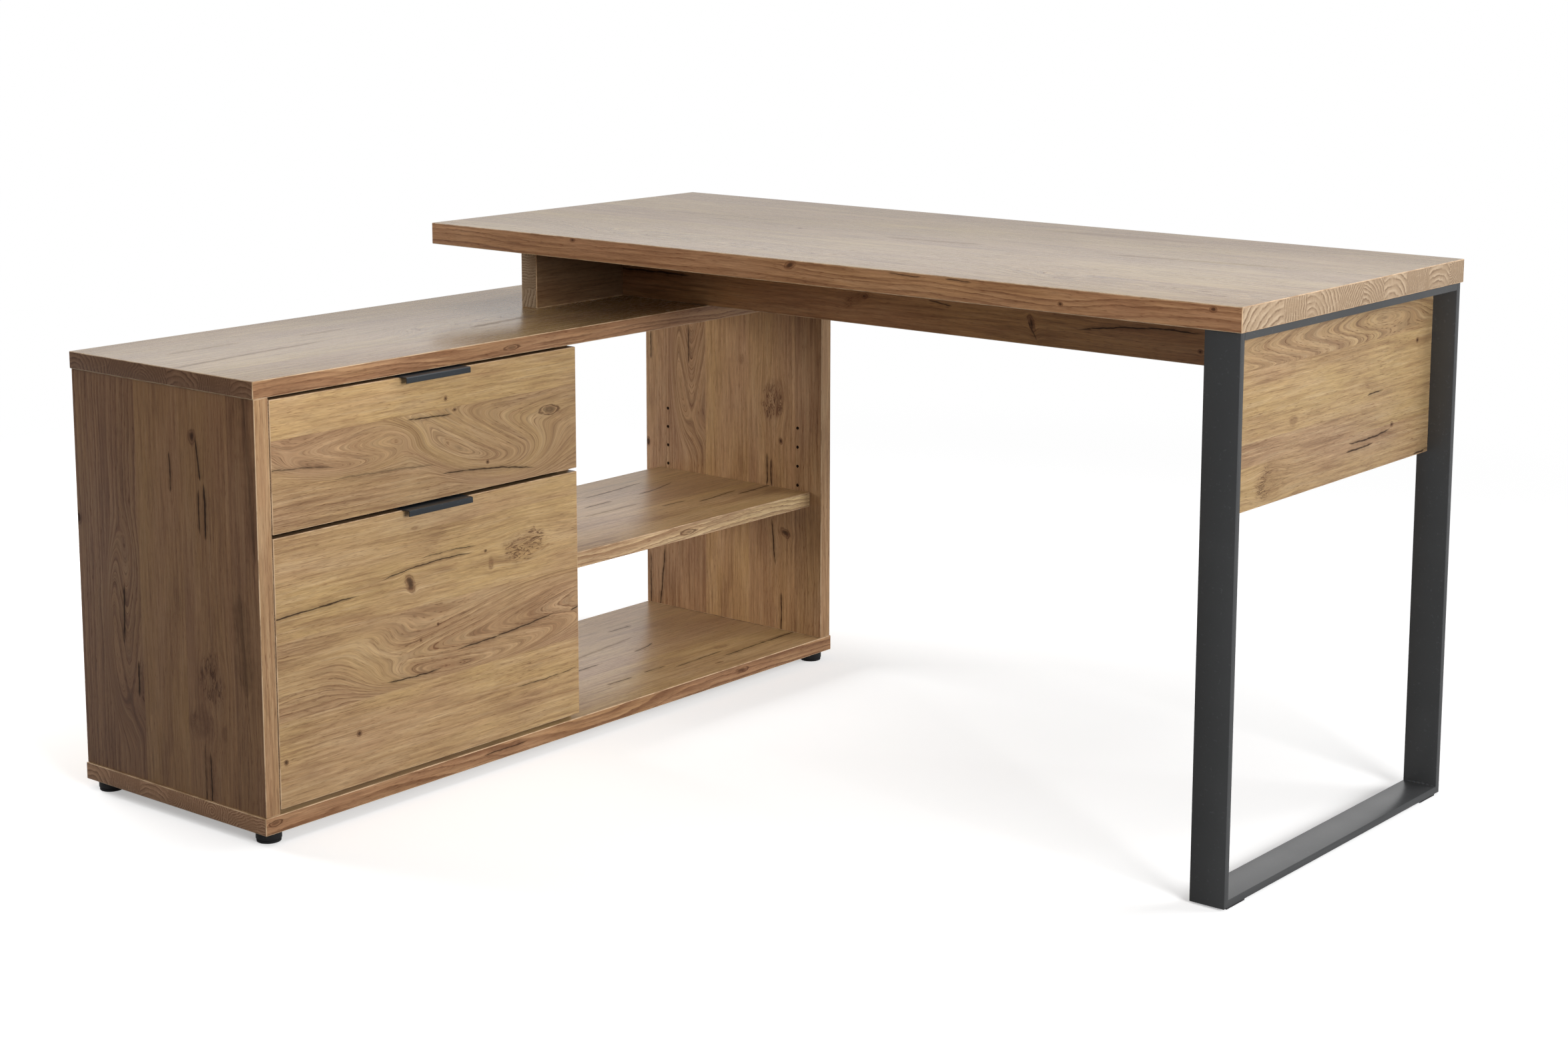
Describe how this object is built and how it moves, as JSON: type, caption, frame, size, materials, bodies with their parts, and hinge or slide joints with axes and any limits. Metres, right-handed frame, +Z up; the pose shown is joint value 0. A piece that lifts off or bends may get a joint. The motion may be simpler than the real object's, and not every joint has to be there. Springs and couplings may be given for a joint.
{
  "type": "corner desk",
  "caption": "Corner desk: a rectangular top on a flat-steel sled leg and on a low cabinet with two drawers and an open shelf bay.",
  "frame": {"origin": "centre of the footprint on the floor", "axes": "+X towards the sled leg, along the desk top; +Y towards the rear edge of the desk top; +Z up"},
  "size_m": [1.488, 1.204, 0.76],
  "materials": {
    "oak_board": "matt oak-pattern melamine board with rustic grain, knots and narrow cracks",
    "anthracite_steel": "anthracite powder coat, satin",
    "anthracite_pull": "anthracite lacquer, satin",
    "black_plastic": "moulded black plastic, fine texture",
    "beech": "fluted beech dowel",
    "drawer_board": "light grey melamine board",
    "hardboard": "light grey lacquered hardboard",
    "zinc_steel": "zinc plated"
  },
  "bodies": {
    "desk": {"angle_brackets": "zinc_steel", "apron": "oak_board", "bracket_screws": "zinc_steel", "cabinet_base": "oak_board", "cabinet_feet": "black_plastic", "cabinet_top": "oak_board", "carcass_dowels": "beech", "desk_dowels": "beech", "desktop": "oak_board", "divider_panel": "oak_board", "drawer_bay_back": "oak_board", "end_panel": "oak_board", "end_panel_screws": "zinc_steel", "foot_screws": "zinc_steel", "left_side_panel": "oak_board", "leg_bottom_bar": "anthracite_steel", "leg_front_post": "anthracite_steel", "leg_glides": "black_plastic", "leg_insert_nuts": "zinc_steel", "leg_rear_post": "anthracite_steel", "leg_screws": "zinc_steel", "leg_top_bar": "anthracite_steel", "lower_runner_outer_left": "zinc_steel", "lower_runner_outer_right": "zinc_steel", "outer_runner_screws": "zinc_steel", "right_side_panel": "oak_board", "shelf": "oak_board", "shelf_pins": "zinc_steel", "support_board": "oak_board", "support_screws": "zinc_steel", "upper_runner_outer_left": "zinc_steel", "upper_runner_outer_right": "zinc_steel"},
    "upper_drawer": {"upper_box_back": "drawer_board", "upper_box_bottom": "hardboard", "upper_box_dowels": "beech", "upper_box_side_left": "drawer_board", "upper_box_side_right": "drawer_board", "upper_drawer_front": "oak_board", "upper_drawer_handle": "anthracite_pull", "upper_handle_screws": "zinc_steel", "upper_inner_runner_screws": "zinc_steel", "upper_runner_inner_left": "zinc_steel", "upper_runner_inner_right": "zinc_steel"},
    "upper_runners": {"upper_runner_middle_left": "zinc_steel", "upper_runner_middle_right": "zinc_steel"},
    "lower_drawer": {"lower_box_back": "drawer_board", "lower_box_bottom": "hardboard", "lower_box_dowels": "beech", "lower_box_side_left": "drawer_board", "lower_box_side_right": "drawer_board", "lower_drawer_front": "oak_board", "lower_drawer_handle": "anthracite_pull", "lower_handle_screws": "zinc_steel", "lower_inner_runner_screws": "zinc_steel", "lower_runner_inner_left": "zinc_steel", "lower_runner_inner_right": "zinc_steel"},
    "lower_runners": {"lower_runner_middle_left": "zinc_steel", "lower_runner_middle_right": "zinc_steel"}
  },
  "joints": [
    {"name": "upper_drawer_slide", "type": "slide", "parent": "desk", "child": "upper_drawer", "axis": [1, 0, 0], "range_m": [0, 0.35]},
    {"name": "upper_runner_slide", "type": "slide", "parent": "desk", "child": "upper_runners", "axis": [1, 0, 0], "range_m": [0, 0.175]},
    {"name": "lower_drawer_slide", "type": "slide", "parent": "desk", "child": "lower_drawer", "axis": [1, 0, 0], "range_m": [0, 0.35]},
    {"name": "lower_runner_slide", "type": "slide", "parent": "desk", "child": "lower_runners", "axis": [1, 0, 0], "range_m": [0, 0.175]}
  ],
  "couplings": [
    {"joint": "upper_runner_slide", "follows": "upper_drawer_slide", "ratio": 0.5},
    {"joint": "lower_runner_slide", "follows": "lower_drawer_slide", "ratio": 0.5}
  ]
}
